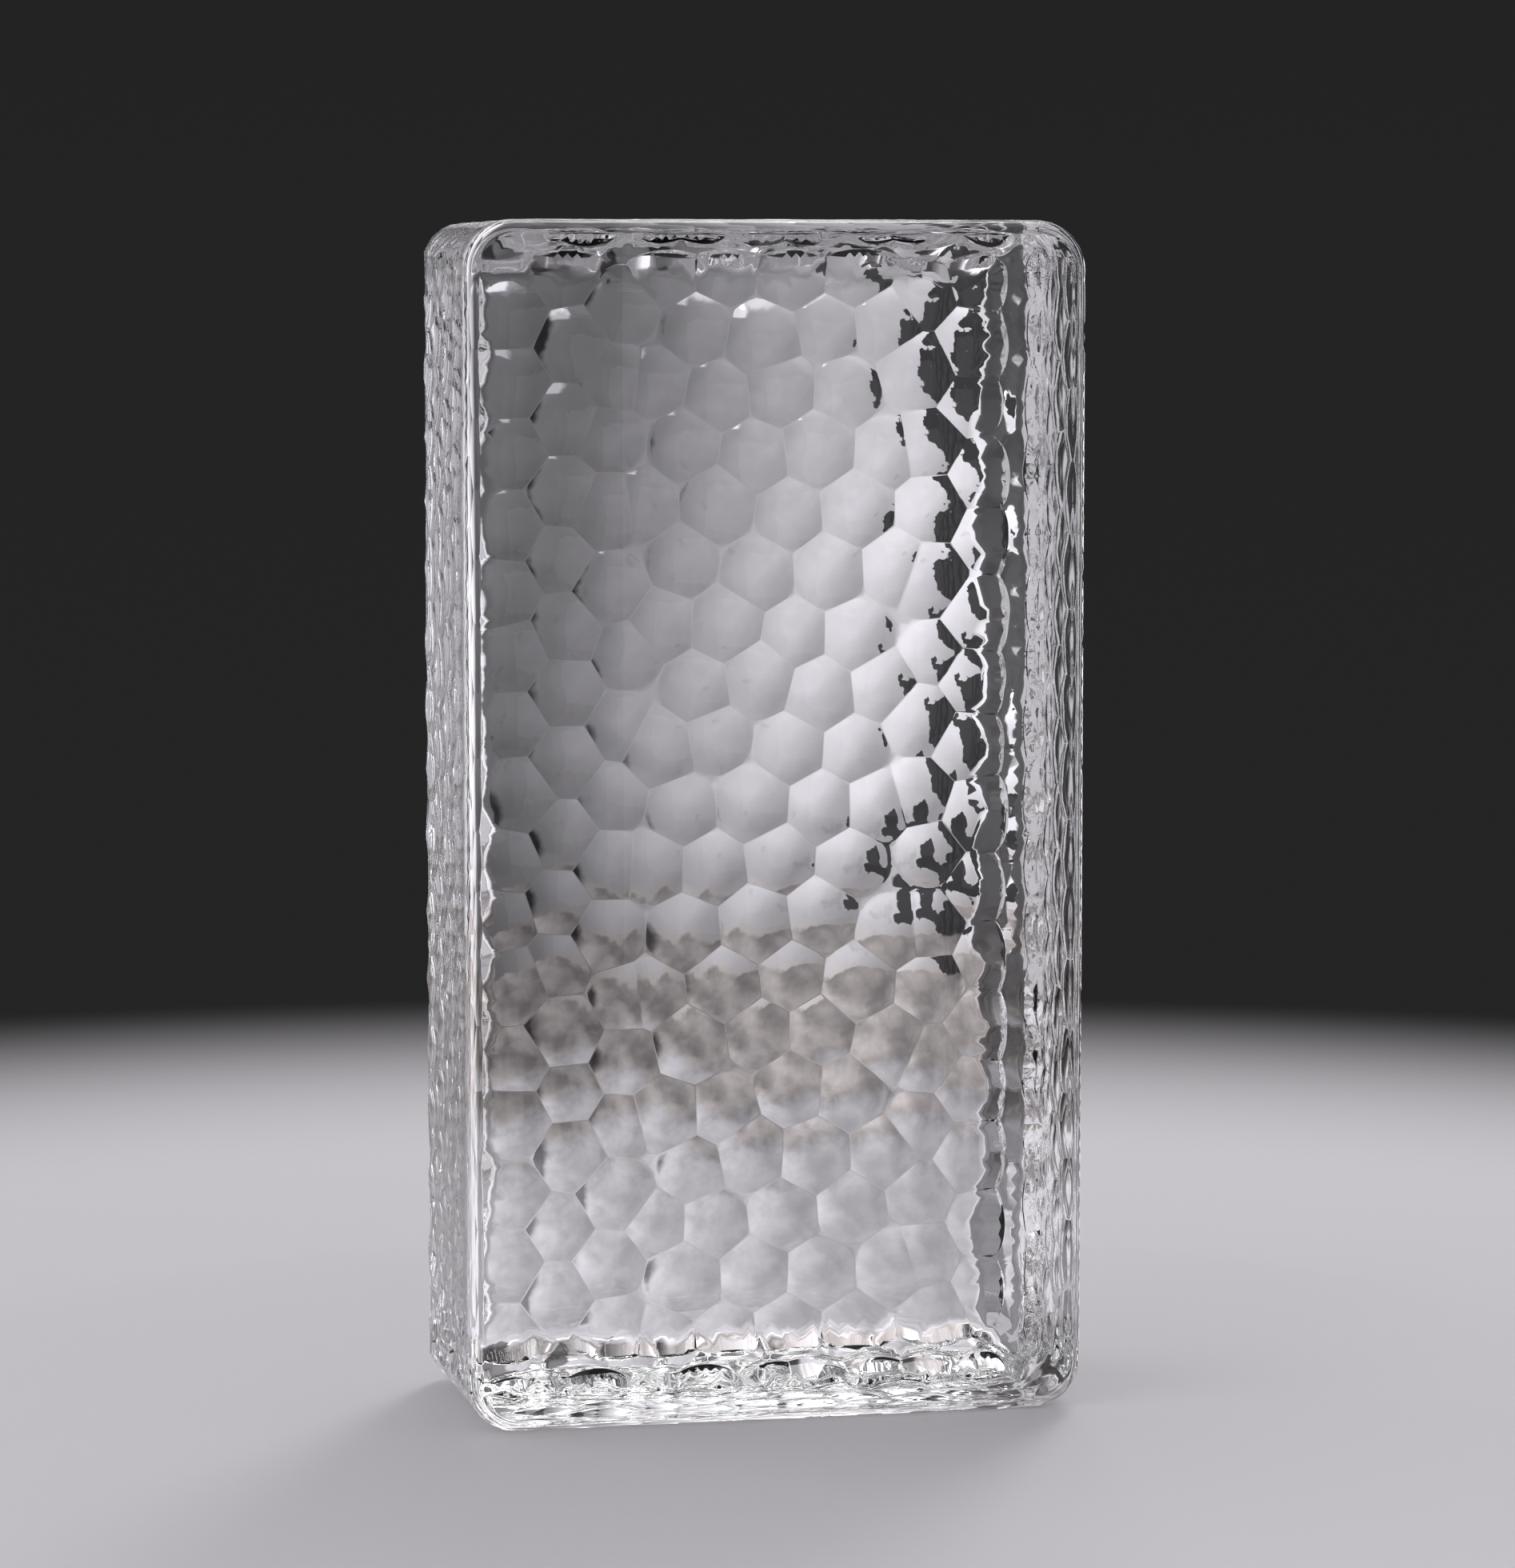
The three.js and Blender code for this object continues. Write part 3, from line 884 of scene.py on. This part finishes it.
def makeTent():  # a round light tent that only glass and gloss see
    sides, radius = tentCloth["sides"], tentCloth["radius"]
    bpy.ops.mesh.primitive_cylinder_add(vertices=sides, radius=radius, depth=1, end_fill_type="NOTHING")
    tent = bpy.context.object
    tent.name = "lightTent"
    low, high = tentCloth["low"], tentCloth["high"]
    for vertex in tent.data.vertices:
        vertex.co.z = low + (vertex.co.z + 0.5) * (high - low)
    tent.visible_camera = tent.visible_diffuse = tent.visible_shadow = False
    material, tree = newMaterial("tentCloth")
    material.cycles.emission_sampling = "NONE"
    tree.nodes.clear()
    place = tree.nodes.new("ShaderNodeNewGeometry").outputs["Position"]
    parts = parted(tree, place)
    turn = bearing(tree, parts)
    fray = cloud(tree, place, *tentCloth["fray"])
    ragged = added(tree, turn, times(tree, fray, tentCloth["raggedBy"]))
    torn = added(tree, turn, times(tree, fray, tentCloth["tornBy"]))
    level = added(tree, parts["Z"], times(tree, fray, tentCloth["waveringBy"]))
    marble = cloud(tree, place, *tentCloth["marble"])
    tiltLevel, tiltBy = tentCloth["tilt"]
    tilted = less(tree, turn, times(tree, less(tree, level, tiltLevel), tiltBy))
    sky = times(
        tree,
        ramp(tree, tilted, *tentCloth["sky"]),
        ramp(tree, torn, *tentCloth["skyEnd"]),
        cloud(tree, place, *tentCloth["patches"]),
        ramp(tree, marble, *tentCloth["smudges"]),
        ramp(tree, level, *tentCloth["skyHigh"]),
        ramp(tree, level, *tentCloth["skyLow"]),
    )
    rightSky = ramp(tree, ragged, *tentCloth["rightSky"])
    leftSky = ramp(tree, ragged, *tentCloth["leftSky"])
    sky = added(tree, sky, rightSky, leftSky)
    ceiling = ramp(tree, level, *tentCloth["ceiling"])
    ceilingLight = times(
        tree,
        ramp(tree, turn, *tentCloth["ceilingLight"]),
        ramp(tree, torn, *tentCloth["ceilingEnd"]),
    )
    ground = ramp(tree, level, *tentCloth["ground"])
    groundShade = times(
        tree,
        ramp(tree, turn, *tentCloth["groundShade"]),
        ramp(tree, level, *tentCloth["groundShadeRise"]),
    )
    mottle = times(tree, less(tree, marble, 1), ramp(tree, level, *tentCloth["marbleFade"]))
    # the ground band: a stone-like mottle, with painted shade that makes it darker to the left
    shadedStone = times(tree, ground, added(tree, 1, mottle), less(tree, 1, groundShade))
    above = added(tree, times(tree, sky, less(tree, 1, ceiling)), times(tree, ceiling, ceilingLight))
    clearness = added(
        tree,
        times(tree, above, less(tree, 1, ground)),
        times(tree, shadedStone, tentCloth["groundShare"]),
    )
    glow = times(tree, shadedStone, ramp(tree, level, *tentCloth["groundGlow"]))
    warmth = band(tree, level, *tentCloth["warmBand"])
    tints = tentCloth["coolTint"], tentCloth["warmTint"]
    light = tree.nodes.new("ShaderNodeEmission")
    tree.links.new(blended(tree, warmth, *tints, glow), light.inputs["Color"])
    clear = tree.nodes.new("ShaderNodeBsdfTransparent")
    tree.links.new(blended(tree, warmth, *tints, clearness), clear.inputs["Color"])
    both = tree.nodes.new("ShaderNodeAddShader")
    tree.links.new(light.outputs[0], both.inputs[0])
    tree.links.new(clear.outputs[0], both.inputs[1])
    output = tree.nodes.new("ShaderNodeOutputMaterial")
    tree.links.new(both.outputs[0], output.inputs["Surface"])
    tent.data.materials.append(material)


camera = {
    "azimuth": 12.74,      # degrees to the block's left
    "elevation": 5.29,
    "distance": 0.8988,
    "aim": (0.002, 0.0, 0.0994),
    "lens": 127.7,
    "sensor": 36,
    "clipStart": 0.01,
}


def makeCamera():
    turn, rise = math.radians(camera["azimuth"]), math.radians(camera["elevation"])
    ahead = Vector((math.sin(turn) * math.cos(rise), math.cos(turn) * math.cos(rise), -math.sin(rise)))
    data = bpy.data.cameras.new("camera")
    data.lens = camera["lens"]
    data.sensor_width = camera["sensor"]
    data.clip_start = camera["clipStart"]
    thing = bpy.data.objects.new("camera", data)
    scene.collection.objects.link(thing)
    thing.location = Vector(camera["aim"]) - ahead * camera["distance"]
    thing.rotation_euler = ahead.to_track_quat("-Z", "Y").to_euler()
    scene.camera = thing


bounces = {"most": 12, "gloss": 8}

makeFloor()
makeWorld()
makeTent()
makeCamera()
scene.view_settings.view_transform = "Standard"
scene.cycles.max_bounces = bounces["most"]
scene.cycles.transmission_bounces = bounces["most"]
scene.cycles.glossy_bounces = bounces["gloss"]
print("stage done")
